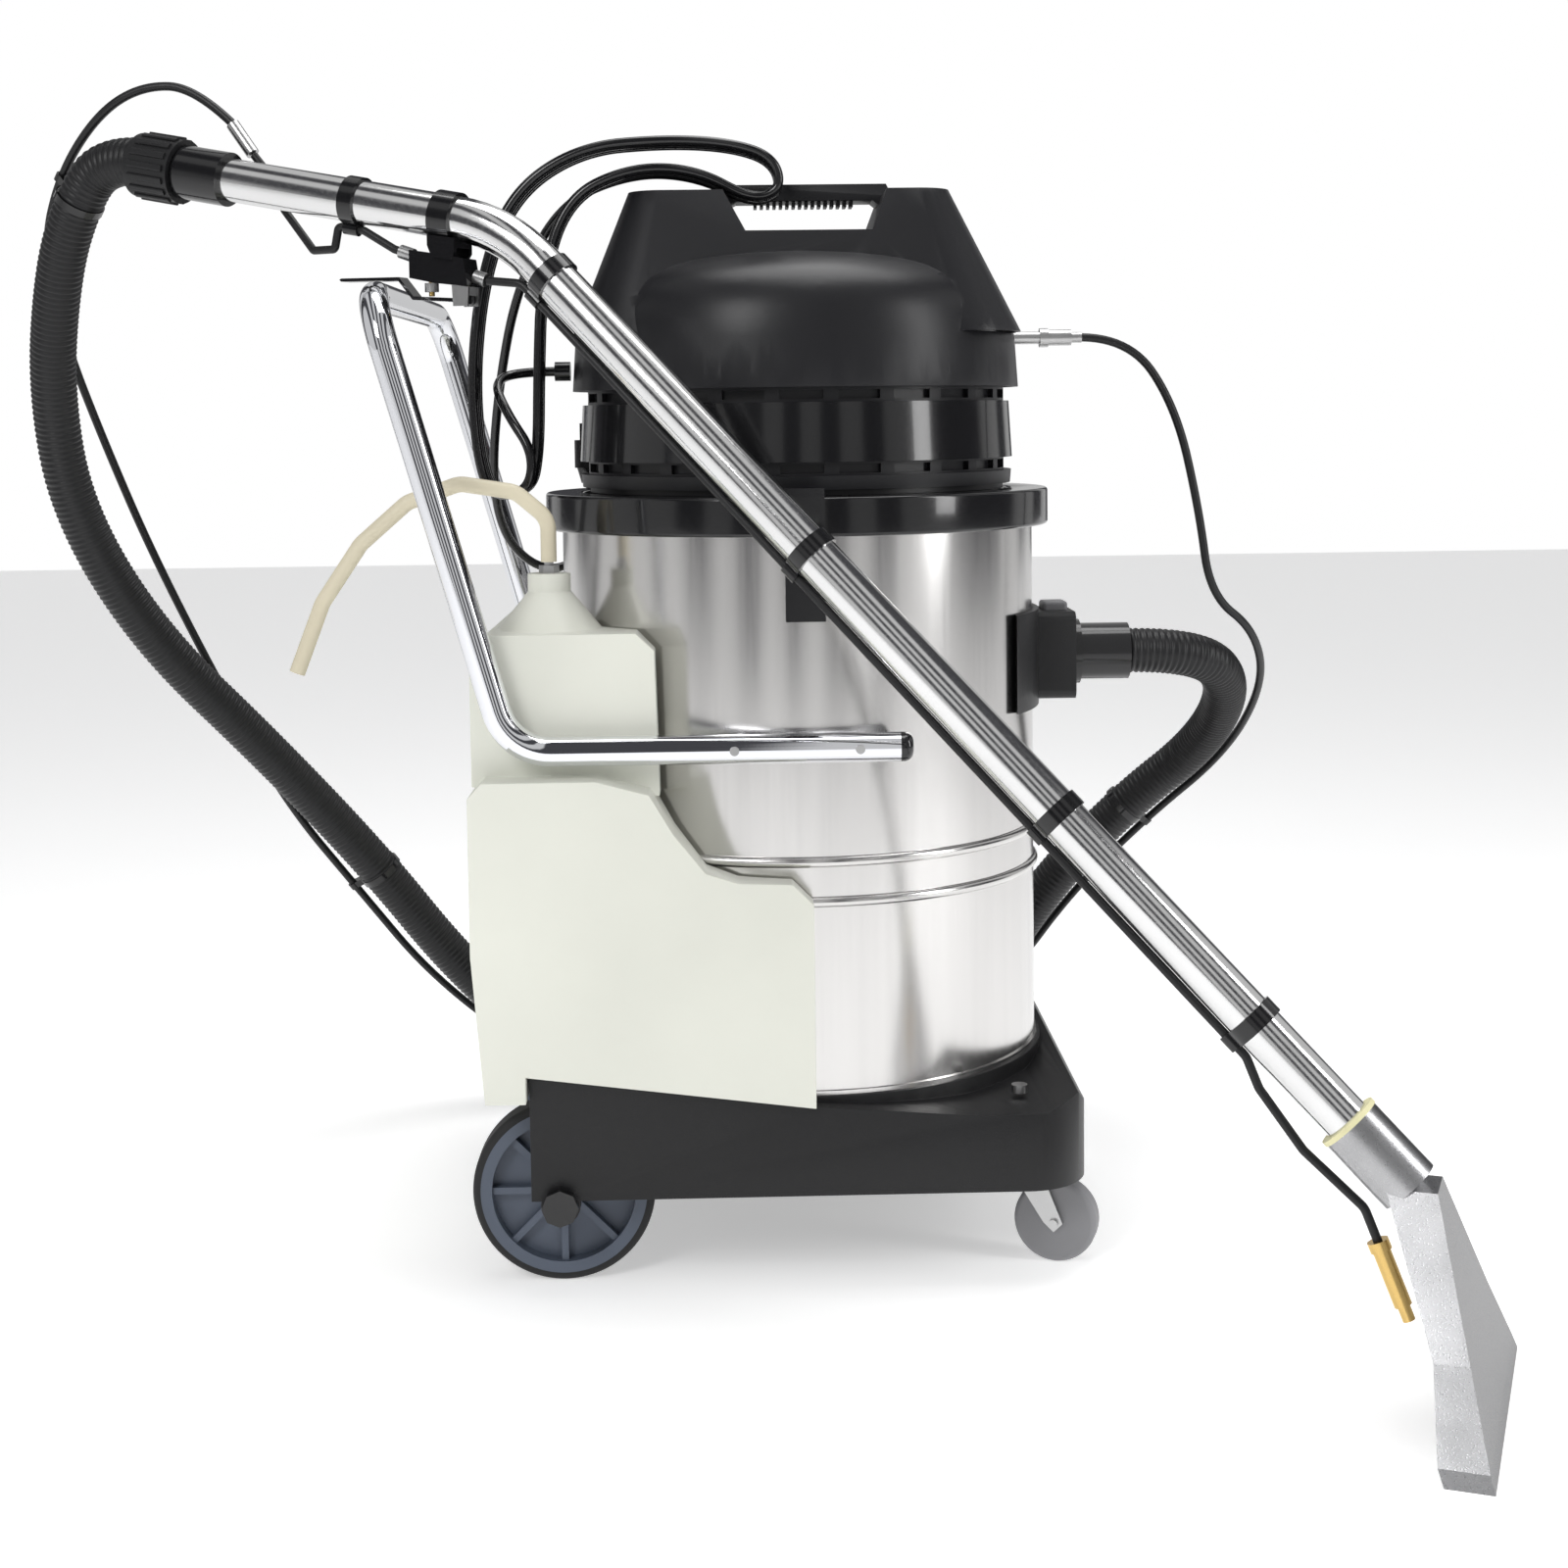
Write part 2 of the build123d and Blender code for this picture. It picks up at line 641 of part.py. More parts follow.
FLOAT_LOW = 590.0
with BuildPart() as float_cage:
    with BuildSketch(level(FLANGE_LOW - 6)):
        Circle(50)
        Circle(22, mode=Mode.SUBTRACT)
    extrude(amount=6)
    with BuildSketch(level(FLOAT_LOW)):
        with PolarLocations(46, 6):
            Circle(3)
    extrude(amount=FLANGE_LOW - 6 - FLOAT_LOW)
    with BuildSketch(level(FLOAT_LOW - 4)):
        Circle(50)
        Circle(20, mode=Mode.SUBTRACT)
    extrude(amount=4)
publish("float_cage", float_cage.part)

FLOAT_R = 34.0
with BuildPart() as float_ball:
    with BuildSketch(Plane.XZ):
        with BuildLine():
            Polyline((0, FLOAT_LOW + 1), (22, FLOAT_LOW + 1), (FLOAT_R, FLOAT_LOW + 14), (FLOAT_R, FLOAT_LOW + 34),
                     (22, FLOAT_LOW + 47), (0, FLOAT_LOW + 47), close=True)
        make_face()
    revolve(axis=Axis.Z)
publish("float_ball", float_ball.part)

COUPLER_Z = 827.0
with BuildPart() as solution_coupler:
    for x_from, x_to, radius, inner in ((203, 232, 5.9, 0), (232, 240, 9, 0), (240, 262, 7.5, 0), (262, 272, 5, 0)):
        with BuildSketch(Plane.YZ.offset(x_from)):
            with Locations((0, COUPLER_Z)):
                Circle(radius)
        extrude(amount=x_to - x_from)
publish("solution_coupler", solution_coupler.part)

# rocker switches on the far side of the skirt
SWITCH_Z = 806.0
SWITCH_XS = {"suction": -60.0, "pump": -26.0}
BEZEL_Y = 214.0
with BuildPart() as switch_bezels:
    for x in SWITCH_XS.values():
        with BuildSketch(side(BEZEL_Y)):
            with Locations((x, SWITCH_Z)):
                Rectangle(28, 34)
                Rectangle(20.6, 26.6, mode=Mode.SUBTRACT)
        extrude(amount=30)
    with BuildSketch(level(CORE_TOP)):
        Circle(COVER_R + 0.2)
    extrude(amount=60, mode=Mode.SUBTRACT)
publish("switch_bezels", switch_bezels.part)

for name, x in SWITCH_XS.items():
    with BuildPart() as rocker:
        with BuildSketch(Plane.YZ.offset(x - 10)):
            with BuildLine():
                Polyline((BEZEL_Y - 2, SWITCH_Z - 11), (BEZEL_Y + 1, SWITCH_Z), (BEZEL_Y + 5, SWITCH_Z + 11),
                         (BEZEL_Y - 1, SWITCH_Z + 9), (BEZEL_Y - 1.5, SWITCH_Z), (BEZEL_Y - 2.4, SWITCH_Z - 9), close=True)
            make_face()
        extrude(amount=20)
    publish(f"rocker_{name}", rocker.part)

# ---------------------------------------------------------------- wand
TUBE_END = (-108.0, 204.0)       # where the tube stops in the nozzle's socket
TUBE_BEND = (-822.0, 919.4)
TUBE_HEAD = (-1133.0, 978.6)


def unit(from_point, to_point):
    du, dz = to_point[0] - from_point[0], to_point[1] - from_point[1]
    length = sqrt(du * du + dz * dz)
    return du / length, dz / length


RUN = unit(TUBE_BEND, TUBE_END)          # down the long run
GRIP = unit(TUBE_BEND, TUBE_HEAD)        # up the grip end


def on_run(along, below=0.0, out=0.0):
    """Point beside the long run, measured back from the tube's end."""
    u = TUBE_END[0] - RUN[0] * along + RUN[1] * below
    z = TUBE_END[1] - RUN[1] * along - RUN[0] * below
    return wand_point(u, z, out)


def on_grip(along, below=0.0, out=0.0):
    """Point beside the grip run, measured from the bend's corner."""
    u = TUBE_BEND[0] + GRIP[0] * along - GRIP[1] * below
    z = TUBE_BEND[1] + GRIP[1] * along + GRIP[0] * below
    return wand_point(u, z, out)


def across(point, direction):
    """Plane square to a direction of the wand's plane, at a point."""
    c, s = cos(radians(WAND_YAW)), sin(radians(WAND_YAW))
    normal = Vector(direction[0] * c, direction[0] * s, direction[1])
    return Plane(origin=point, x_dir=(-s, c, 0), z_dir=normal)


def collar(plane, outer, inner, length):
    with BuildPart() as ring:
        with BuildSketch(plane):
            Circle(outer)
            if inner:
                Circle(inner, mode=Mode.SUBTRACT)
        extrude(amount=length)
    return ring.part


with BuildPart() as wand_tube:
    with BuildLine() as wand_line:
        FilletPolyline(wand_point(*TUBE_HEAD), wand_point(*TUBE_BEND), wand_point(*TUBE_END), radius=150)
    with BuildSketch(across(wand_point(*TUBE_HEAD), (-GRIP[0], -GRIP[1]))):
        Circle(WAND_R)
        Circle(WAND_BORE, mode=Mode.SUBTRACT)
    sweep(path=wand_line.line)
publish("wand_tube", wand_tube.part)

GRIP_LENGTH = 316.6
CUFF_LENGTH = 46.0
SPIGOT_LENGTH = 50.0
NUT_BORE = 22.0
CUFF_FROM = GRIP_LENGTH - 40

with BuildPart() as wand_cuff:
    add(collar(across(on_grip(CUFF_FROM), GRIP), 24, WAND_R, 40))
    add(collar(across(on_grip(CUFF_FROM + 40), GRIP), 24, WAND_BORE, CUFF_LENGTH - 40))
    add(collar(across(on_grip(CUFF_FROM + CUFF_LENGTH), GRIP), NUT_BORE - 0.1, 18, SPIGOT_LENGTH))
publish("wand_cuff", wand_cuff.part)

NUT_FROM = CUFF_FROM + CUFF_LENGTH + 2
NUT_LENGTH = SPIGOT_LENGTH - 4
with BuildPart() as swivel_nut:
    add(collar(across(on_grip(NUT_FROM), GRIP), 28.5, NUT_BORE, NUT_LENGTH))
    with BuildSketch(across(on_grip(NUT_FROM + 4), GRIP)):
        with PolarLocations(28, 16):
            RectangleRounded(5, 6, 1.5)
        Circle(NUT_BORE, mode=Mode.SUBTRACT)
    extrude(amount=NUT_LENGTH - 10)
publish("swivel_nut", swivel_nut.part)

LINE_DROP = WAND_R + LINE_R + 1.4
RUN_CLIPS = (948.0, 624.0, 333.0, 116.0)
GRIP_CLIP = 146.0


def clip(centre, direction, line_point):
    """Strap round the tube that also holds the spray line under it."""
    plane = across(centre, direction)
    with BuildPart() as strap:
        with BuildSketch(plane):
            Circle(WAND_R + 2.4)
            with Locations(plane.to_local_coords(Vector(*line_point))):
                Circle(LINE_R + 2.2)
            Circle(WAND_R, mode=Mode.SUBTRACT)
            with Locations(plane.to_local_coords(Vector(*line_point))):
                Circle(LINE_R, mode=Mode.SUBTRACT)
        extrude(amount=7, both=True)
    return strap.part


wand_clips = [clip(on_run(along), RUN, on_run(along, LINE_DROP)) for along in RUN_CLIPS]
wand_clips.append(clip(on_grip(GRIP_CLIP), GRIP, on_grip(GRIP_CLIP, LINE_DROP)))
publish("wand_clips", Compound([strap.solid() for strap in wand_clips]))

CLAMP_ALONG = 54.0
with BuildPart() as valve_clamp:
    add(collar(across(on_grip(CLAMP_ALONG - 10), GRIP), WAND_R + 3, WAND_R, 20))
    with BuildSketch(wand_plane(-16)):
        with BuildLine():
            Polyline((-888, 905), (-888, 914), (-862, 910), (-862, 898), (-866, 892), (-884, 895), close=True)
        make_face()
    extrude(amount=32)
    with BuildSketch(across(on_grip(CLAMP_ALONG - 40), GRIP)):
        Circle(WAND_R)
    extrude(amount=80, mode=Mode.SUBTRACT)
    add(wand_tube.part, mode=Mode.SUBTRACT)
    with BuildSketch(wand_plane(-12)):
        Rectangle(4000, 1804)
    extrude(amount=24, mode=Mode.SUBTRACT)
publish("valve_clamp", valve_clamp.part)

VALVE_HALF = 12.0
STEM_U = -893.0
STEM_R = 2.5
with BuildPart() as valve_body:
    with BuildSketch(wand_plane(-VALVE_HALF)):
        with BuildLine():
            Polyline((-908, 878), (-908, 902), (-856, 893), (-852, 869), (-884, 873), close=True)
        make_face()
    extrude(amount=2 * VALVE_HALF)
    with BuildSketch(Plane(origin=wand_point(STEM_U, 860), x_dir=(1, 0, 0), z_dir=(0, 0, 1))):
        Circle(STEM_R + 0.05)
    extrude(amount=32, mode=Mode.SUBTRACT)
publish("valve_body", valve_body.part)

PIVOT = (-860.0, 858.0)
with BuildPart() as trigger_bracket:
    for out in (-10.6, 8.6):
        with BuildSketch(wand_plane(out)):
            with BuildLine():
                Polyline((-867, 853), (-868, 870.9), (-852, 869), (-853, 853), close=True)
            make_face()
        extrude(amount=2)
    with BuildSketch(wand_plane(-10.6)):
        with Locations(PIVOT):
            Circle(2)
    extrude(amount=21.2)
publish("trigger_bracket", trigger_bracket.part)

with BuildPart() as trigger_lever:
    with BuildSketch(wand_plane(-7.5)):
        with BuildLine():
            Polyline((-856, 856), (-908, 859.5), (-922, 876.6), (-978, 877.2), (-980, 878.8), (-978, 880),
                     (-921, 879.4), (-907, 862.5), (-868, 860), (-864, 862), (-856, 862), close=True)
        make_face()
        with Locations(PIVOT):
            Circle(4.2)
            Circle(2.05, mode=Mode.SUBTRACT)
    extrude(amount=15)
publish("trigger_lever", trigger_lever.part)

with BuildPart() as valve_stem:
    with BuildSketch(Plane(origin=wand_point(STEM_U, 862.4), x_dir=(1, 0, 0), z_dir=(0, 0, 1))):
        Circle(STEM_R)
    extrude(amount=22)
publish("valve_stem", valve_stem.part)

INLET_FITTING = (-908.0, 897.0)
OUTLET_FITTING = (-854.0, 879.0)
FITTING_DIR = unit(OUTLET_FITTING, INLET_FITTING)
COUPLER_U = (-1105.0, 1023.0)


def beside(point, along):
    return wand_point(point[0] + FITTING_DIR[0] * along, point[1] + FITTING_DIR[1] * along)


back = (-FITTING_DIR[0], -FITTING_DIR[1])
fittings = [
    collar(across(beside(INLET_FITTING, 2.2), FITTING_DIR), 6, 0, 13),
    collar(across(beside(OUTLET_FITTING, -3.6), back), 6, 0, 11),
    collar(Plane(origin=wand_point(STEM_U, 866), x_dir=(1, 0, 0), z_dir=(0, 0, 1)), 6, STEM_R + 0.05, 7.6),
    collar(across(wand_point(*COUPLER_U, -24), (0.6, -0.8)), 6, 0, 34),
]
publish("valve_fittings", Compound([fitting.solid() for fitting in fittings]))

# ---------------------------------------------------------------- nozzle
SOCKET_R = 24.5


def lip_section(z, u_from, u_to, half, inset=0.0):
    plane = Plane(origin=wand_point((u_from + u_to) / 2, z), z_dir=(0, 0, 1),
                  x_dir=(cos(radians(WAND_YAW)), sin(radians(WAND_YAW)), 0))
    with BuildSketch(plane) as section:
        Rectangle(u_to - u_from - 2 * inset, 2 * (half - inset))
    return section.sketch


LIP_SECTIONS = ((172, -88, -50, 21), (70, -47, -21, 88), (12, -40, -4, 131), (0, -35, 0, 136))
PASSAGE_SECTIONS = ((150, -80, -52, 21), (70, -47, -21, 88), (12, -38, -6, 131), (-1, -32, -4, 134))

with BuildPart() as nozzle:
    loft([lip_section(*row) for row in LIP_SECTIONS], ruled=True)
    add(collar(across(on_run(12), RUN), SOCKET_R, 0, 62))
    loft([lip_section(*row, inset=4) for row in PASSAGE_SECTIONS], ruled=True, mode=Mode.SUBTRACT)
    add(collar(across(on_run(20), RUN), WAND_R, 0, 20), mode=Mode.SUBTRACT)
    add(collar(across(on_run(0), RUN), WAND_BORE, 0, 44), mode=Mode.SUBTRACT)
publish("nozzle", nozzle.part)

publish("nozzle_gasket", collar(across(on_run(16), RUN), SOCKET_R + 1, WAND_R, 4))

REAR_SLOPE = unit((-88, 172), (-47, 70))
BAR_AT = (-80.0, 122.0)


def on_rear(along, away, out=0.0):
    """Point behind the nozzle's rear face."""
    u = BAR_AT[0] + REAR_SLOPE[0] * along + REAR_SLOPE[1] * away
    z = BAR_AT[1] + REAR_SLOPE[1] * along - REAR_SLOPE[0] * away
    return wand_point(u, z, out)


spray_pieces = [
    collar(across(on_rear(0, 14), REAR_SLOPE), 7, 0, 44),
    collar(across(on_rear(-8, 14), REAR_SLOPE), 8.5, 0, 8),
    collar(across(on_rear(44, 14), REAR_SLOPE), 5, 0, 12),
]
publish("spray_bar", Compound([piece.solid() for piece in spray_pieces]))

# ---------------------------------------------------------------- hoses and cord
SUCTION_BORE = 19.5
SOLUTION_R = 4.0
TIES_ALONG = (0.165, 0.615, 0.965)

SUCTION_PATH = (
    (315.1, 0, 528), (385, 0, 528), (432, 70, 485), (425, 180, 412), (350, 215, 345), (270, 240, 255),
    (215, 300, 150), (130, 345, 60), (0, 350, 21.6), (-150, 345, 21.6), (-280, 330, 70), (-370, 300, 165),
    (-450, 262, 285), (-550, 195, 420), (-645, 125, 540), (-705, 75, 670), (-712, 40, 790), (-684, -18, 900),
    (-655, -48, 960), (-626, -63, 995), (-592, -77, 992),
)
SOLUTION_PATH = (
    (272.1, 0, 827), (318, 0, 826), (362, -2, 760), (384, -4, 660), (394, -4, 580), (442, 14, 544),
    (468, 90, 482), (452, 195, 398), (372, 232, 322), (296, 262, 236), (243, 322, 140), (150, 374, 46),
    (0, 378, 5), (-155, 373, 5), (-300, 358, 52), (-400, 318, 146), (-470, 276, 252), (-535, 234, 352),
    (-590, 206, 470), (-652, 172, 620), (-690, 138, 740), (-712, 90, 840), (-708, 20, 922), (-678, -24, 986),
    (-630, -66, 1036), (-588, -72, 1060), (-540, -76, 1058), (-504.8, -86.2, 1024),
)
# One turn of the hank: up over the left lobe, down beside the head and back.
HANK_TURN = (
    (-90, 0, 980), (-150, 0, 982), (-208, 0, 955), (-232, 0, 880), (-236, 0, 800), (-238, 1, 725), (-246, 3, 690),
    (-280, 5, 686), (-292, 6, 722), (-296, 7, 800), (-284, 7, 890), (-256, 7, 960), (-195, 7, 1000), (-120, 7, 1006),
    (-60, 8, 1003), (-20, 10, 990), (-12, 12, 962), (-38, 13, 951),
)
CORD_PATH = [(-226, -18, 800), (-262, -18, 800), (-280, -50, 790), (-264, -84, 760), (-240, -97, 725)]
CORD_PATH += [(x, -98 + y, z) for x, y, z in HANK_TURN[6:]]
for turn in range(1, 4):
    CORD_PATH += [(x, -98 + 14 * turn + y, z) for x, y, z in HANK_TURN]
CORD_PATH += [
    (-90, -38, 978), (-150, -34, 982), (-218, -20, 956), (-262, 10, 880), (-284, 40, 790), (-296, 70, 700),
    (-290, 110, 640), (-262, 142, 606), (-228, 156, 604), (-206, 162, 640), (-206, 164, 690),
]


def corner_radii(points):
    """Arc for each corner: 0.45 of the shorter run over the tangent of the half turn."""
    radii = []
    for before, here, after in zip(points, points[1:], points[2:]):
        a, b = Vector(*here) - Vector(*before), Vector(*after) - Vector(*here)
        radii.append(0.45 * min(a.length, b.length) / tan(radians(a.get_angle(b)) / 2))
    return radii


def cord(name, points, outer, inner=0.0):
    radii = corner_radii(points)
    with BuildPart() as tube:
        with BuildLine() as line:
            FilletPolyline(*points, radius=radii)
        start = Vector(*points[1]) - Vector(*points[0])
        with BuildSketch(Plane(origin=points[0], z_dir=start)):
            Circle(outer)
            if inner:
                Circle(inner, mode=Mode.SUBTRACT)
        sweep(path=line.line)
    length = line.wires()[0].length
    section = pi * (outer * outer - inner * inner)
    print(name, "length", round(length), "smallest radius", round(min(radii)),
          "volume ratio", round(tube.part.volume / (section * length), 3))
    publish(name, tube.part)
    return line.wires()[0], tube.part


suction_line, suction_part = cord("vacuum_hose", SUCTION_PATH, HOSE_R, SUCTION_BORE)
solution_line, solution_part = cord("solution_hose", SOLUTION_PATH, SOLUTION_R)
cord("power_cord", CORD_PATH, CORD_R)


def tie(along):
    """Strap round both hoses where the thin one runs beside the thick one."""
    centre = suction_line.position_at(along)
    plane = Plane(origin=centre, z_dir=suction_line.tangent_at(along))
    beside_it = min((solution_line.position_at(k / 900) for k in range(901)), key=lambda p: (p - centre).length)
    local = plane.to_local_coords(beside_it)
    reach = sqrt(local.X * local.X + local.Y * local.Y)
    turn = degrees(atan2(local.Y, local.X))
    with BuildPart() as strap:
        with BuildSketch(plane):
            Circle(HOSE_R + 1.4)
            with Locations((local.X, local.Y)):
                Circle(SOLUTION_R + 1.6)
            with Locations((local.X / 2, local.Y / 2)):
                Rectangle(reach, 9, rotation=turn)
        extrude(amount=3.5, both=True)
        add(suction_part, mode=Mode.SUBTRACT)
        add(solution_part, mode=Mode.SUBTRACT)
        with BuildSketch(plane):
            Circle(SUCTION_BORE + 0.5)
        extrude(amount=6, both=True, mode=Mode.SUBTRACT)
    return max(strap.part.solids(), key=lambda solid: solid.volume)


publish("hose_ties", Compound([tie(along) for along in TIES_ALONG]))

publish("cord_gland", collar(Plane(origin=(-211, -18, 800), x_dir=(0, 1, 0), z_dir=(-1, 0, 0)), 9, 0, 14.5))

with BuildPart() as cord_plug:
    with BuildSketch(level(690.5)):
        with Locations((-206, 164)):
            Circle(9)
    with BuildSketch(level(706)):
        with Locations((-206, 164)):
            RectangleRounded(26, 20, 6)
    loft()
    with BuildSketch(level(706)):
        with Locations((-206, 164)):
            RectangleRounded(30, 24, 6)
    extrude(amount=28)
    with BuildSketch(level(734)):
        with Locations((-212, 159), (-212, 169)):
            Rectangle(7, 1.6)
        with Locations((-198, 164)):
            Circle(2.4)
    extrude(amount=17)
publish("cord_plug", cord_plug.part)

# ---------------------------------------------------------------- spray lines
with BuildPart() as inlet_line:
    with BuildLine() as inlet_run:
        FilletPolyline(
            wand_point(-1083.8, 994.7, -24), wand_point(-1072, 979, -27), wand_point(-1052, 944, -22),
            wand_point(-1012, 906, -4), wand_point(-988, 906, 0), on_grip(GRIP_CLIP + 14, LINE_DROP),
            on_grip(GRIP_CLIP - 12, LINE_DROP), beside(INLET_FITTING, 22),
            beside(INLET_FITTING, 15.7), radius=3.7)
    start = inlet_run.wires()[0]
    with BuildSketch(Plane(origin=start.position_at(0), z_dir=start.tangent_at(0))):
        Circle(LINE_R)
    sweep(path=inlet_run.line)
with BuildPart() as outlet_line:
    with BuildLine() as outlet_run:
        FilletPolyline(
            beside(OUTLET_FITTING, -15.8), on_run(966, LINE_DROP), on_run(100, LINE_DROP), on_run(76, 34), on_run(20, 42),
            on_rear(-34, 14), on_rear(-8.1, 14), radius=16)
    start = outlet_run.wires()[0]
    with BuildSketch(Plane(origin=start.position_at(0), z_dir=start.tangent_at(0))):
        Circle(LINE_R)
    sweep(path=outlet_run.line)
publish("spray_lines", Compound([inlet_line.part.solid(), outlet_line.part.solid()]))
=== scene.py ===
"""Carpet cleaner machine: materials, hoses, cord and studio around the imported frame. Metres, +Z up."""
import json
from math import cos, pi, radians, sin

import bmesh
import bpy
from mathutils import Euler, Matrix, Vector

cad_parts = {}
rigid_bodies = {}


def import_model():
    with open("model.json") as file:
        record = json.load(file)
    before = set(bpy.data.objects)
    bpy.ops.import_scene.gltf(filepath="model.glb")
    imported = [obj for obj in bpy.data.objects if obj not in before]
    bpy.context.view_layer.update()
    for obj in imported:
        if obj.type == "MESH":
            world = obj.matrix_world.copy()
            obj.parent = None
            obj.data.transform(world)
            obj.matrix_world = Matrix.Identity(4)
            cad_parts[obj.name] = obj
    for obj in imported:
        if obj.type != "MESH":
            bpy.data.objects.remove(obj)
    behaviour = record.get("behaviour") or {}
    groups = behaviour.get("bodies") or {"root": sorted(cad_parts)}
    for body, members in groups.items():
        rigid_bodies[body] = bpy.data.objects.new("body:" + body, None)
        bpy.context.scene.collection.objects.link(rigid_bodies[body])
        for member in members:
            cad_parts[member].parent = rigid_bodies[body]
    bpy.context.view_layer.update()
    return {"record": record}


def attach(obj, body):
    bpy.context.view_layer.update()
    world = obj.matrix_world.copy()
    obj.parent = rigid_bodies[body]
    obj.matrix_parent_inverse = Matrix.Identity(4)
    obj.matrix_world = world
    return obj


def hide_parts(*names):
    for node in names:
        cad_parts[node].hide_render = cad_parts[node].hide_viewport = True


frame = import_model()

AXIS = Vector((0.0187, 0.1966, 0.0))     # the tank's axis in the frame
HOSE_R = 0.0215
SOLUTION_R = 0.0040
CORD_R = 0.0044

# ---------------------------------------------------------------- routes, millimetres about the tank's axis
SUCTION_PATH = (
    (315.1, 0, 528), (385, 0, 528), (432, 70, 485), (425, 180, 412), (350, 215, 345), (270, 240, 255),
    (215, 300, 150), (130, 345, 60), (0, 350, 21.6), (-150, 345, 21.6), (-280, 330, 70), (-370, 300, 165),
    (-450, 262, 285), (-550, 195, 420), (-645, 125, 540), (-705, 75, 670), (-712, 40, 790), (-684, -18, 900),
    (-655, -48, 960), (-626, -63, 995), (-592, -77, 992),
)
SOLUTION_PATH = (
    (272.1, 0, 827), (318, 0, 826), (362, -2, 760), (384, -4, 660), (394, -4, 580), (442, 14, 544),
    (468, 90, 482), (452, 195, 398), (372, 232, 322), (296, 262, 236), (243, 322, 140), (150, 374, 46),
    (0, 378, 5), (-155, 373, 5), (-300, 358, 52), (-400, 318, 146), (-470, 276, 252), (-535, 234, 352),
    (-590, 206, 470), (-652, 172, 620), (-690, 138, 740), (-712, 90, 840), (-708, 20, 922), (-678, -24, 986),
    (-630, -66, 1036), (-588, -72, 1060), (-540, -76, 1058), (-504.8, -86.2, 1024),
)
# One turn of the hank: up over the left lobe, down beside the head and back.
HANK_TURN = (
    (-90, 0, 980), (-150, 0, 982), (-208, 0, 955), (-232, 0, 880), (-236, 0, 800), (-238, 1, 725), (-246, 3, 690),
    (-280, 5, 686), (-292, 6, 722), (-296, 7, 800), (-284, 7, 890), (-256, 7, 960), (-195, 7, 1000), (-120, 7, 1006),
    (-60, 8, 1003), (-20, 10, 990), (-12, 12, 962), (-38, 13, 951),
)
CORD_PATH = [(-226, -18, 800), (-262, -18, 800), (-280, -50, 790), (-264, -84, 760), (-240, -97, 725)]
CORD_PATH += [(x, -98 + y, z) for x, y, z in HANK_TURN[6:]]
for turn in range(1, 4):
    CORD_PATH += [(x, -98 + 14 * turn + y, z) for x, y, z in HANK_TURN]
CORD_PATH += [
    (-90, -38, 978), (-150, -34, 982), (-218, -20, 956), (-262, 10, 880), (-284, 40, 790), (-296, 70, 700),
    (-290, 110, 640), (-262, 142, 606), (-228, 156, 604), (-206, 162, 640), (-206, 164, 690),
]


def metres(points):
    return [AXIS + Vector(point) / 1000 for point in points]


# ---------------------------------------------------------------- materials
def material(name, colour, rough, metallic=0.0, shift=0.12, spread=0.06, grain=400.0, bump=0.05,
             stretch=(1, 1, 1), coat=0.0, mottle=6.0, transmission=0.0):
    """Principled surface with uneven colour, uneven gloss and a fine grain in its relief."""
    made = bpy.data.materials.new(name)
    made.use_nodes = True
    nodes, links = made.node_tree.nodes, made.node_tree.links
    shader = nodes["Principled BSDF"]
    shader.inputs["Metallic"].default_value = metallic
    shader.inputs["Specular IOR Level"].default_value = 0.5 if metallic else 0.36
    shader.inputs["Coat Weight"].default_value = coat
    shader.inputs["Coat Roughness"].default_value = 0.06
    shader.inputs["Transmission Weight"].default_value = transmission
    where = nodes.new("ShaderNodeTexCoord")
    place = nodes.new("ShaderNodeMapping")
    place.inputs["Scale"].default_value = stretch
    links.new(where.outputs["Object"], place.inputs["Vector"])

    def noise(scale, detail):
        node = nodes.new("ShaderNodeTexNoise")
        node.inputs["Scale"].default_value = scale
        node.inputs["Detail"].default_value = detail
        links.new(place.outputs["Vector"], node.inputs["Vector"])
        return node.outputs["Fac"]

    patch, fine = noise(mottle, 4), noise(grain, 3)
    ramp = nodes.new("ShaderNodeValToRGB")
    ramp.color_ramp.elements[0].position = 0.3
    ramp.color_ramp.elements[1].position = 0.7
    ramp.color_ramp.elements[0].color = [c * (1 - shift) for c in colour] + [1]
    ramp.color_ramp.elements[1].color = [min(1, c * (1 + shift)) for c in colour] + [1]
    links.new(patch, ramp.inputs["Fac"])
    links.new(ramp.outputs["Color"], shader.inputs["Base Color"])
    gloss = nodes.new("ShaderNodeMapRange")
    gloss.inputs["To Min"].default_value = max(0.02, rough - spread)
    gloss.inputs["To Max"].default_value = rough + spread
    links.new(fine, gloss.inputs["Value"])
    links.new(gloss.outputs["Result"], shader.inputs["Roughness"])
    relief = nodes.new("ShaderNodeBump")
    relief.inputs["Strength"].default_value = bump
    relief.inputs["Distance"].default_value = 0.0006
    links.new(fine, relief.inputs["Height"])
    links.new(relief.outputs["Normal"], shader.inputs["Normal"])
    return made


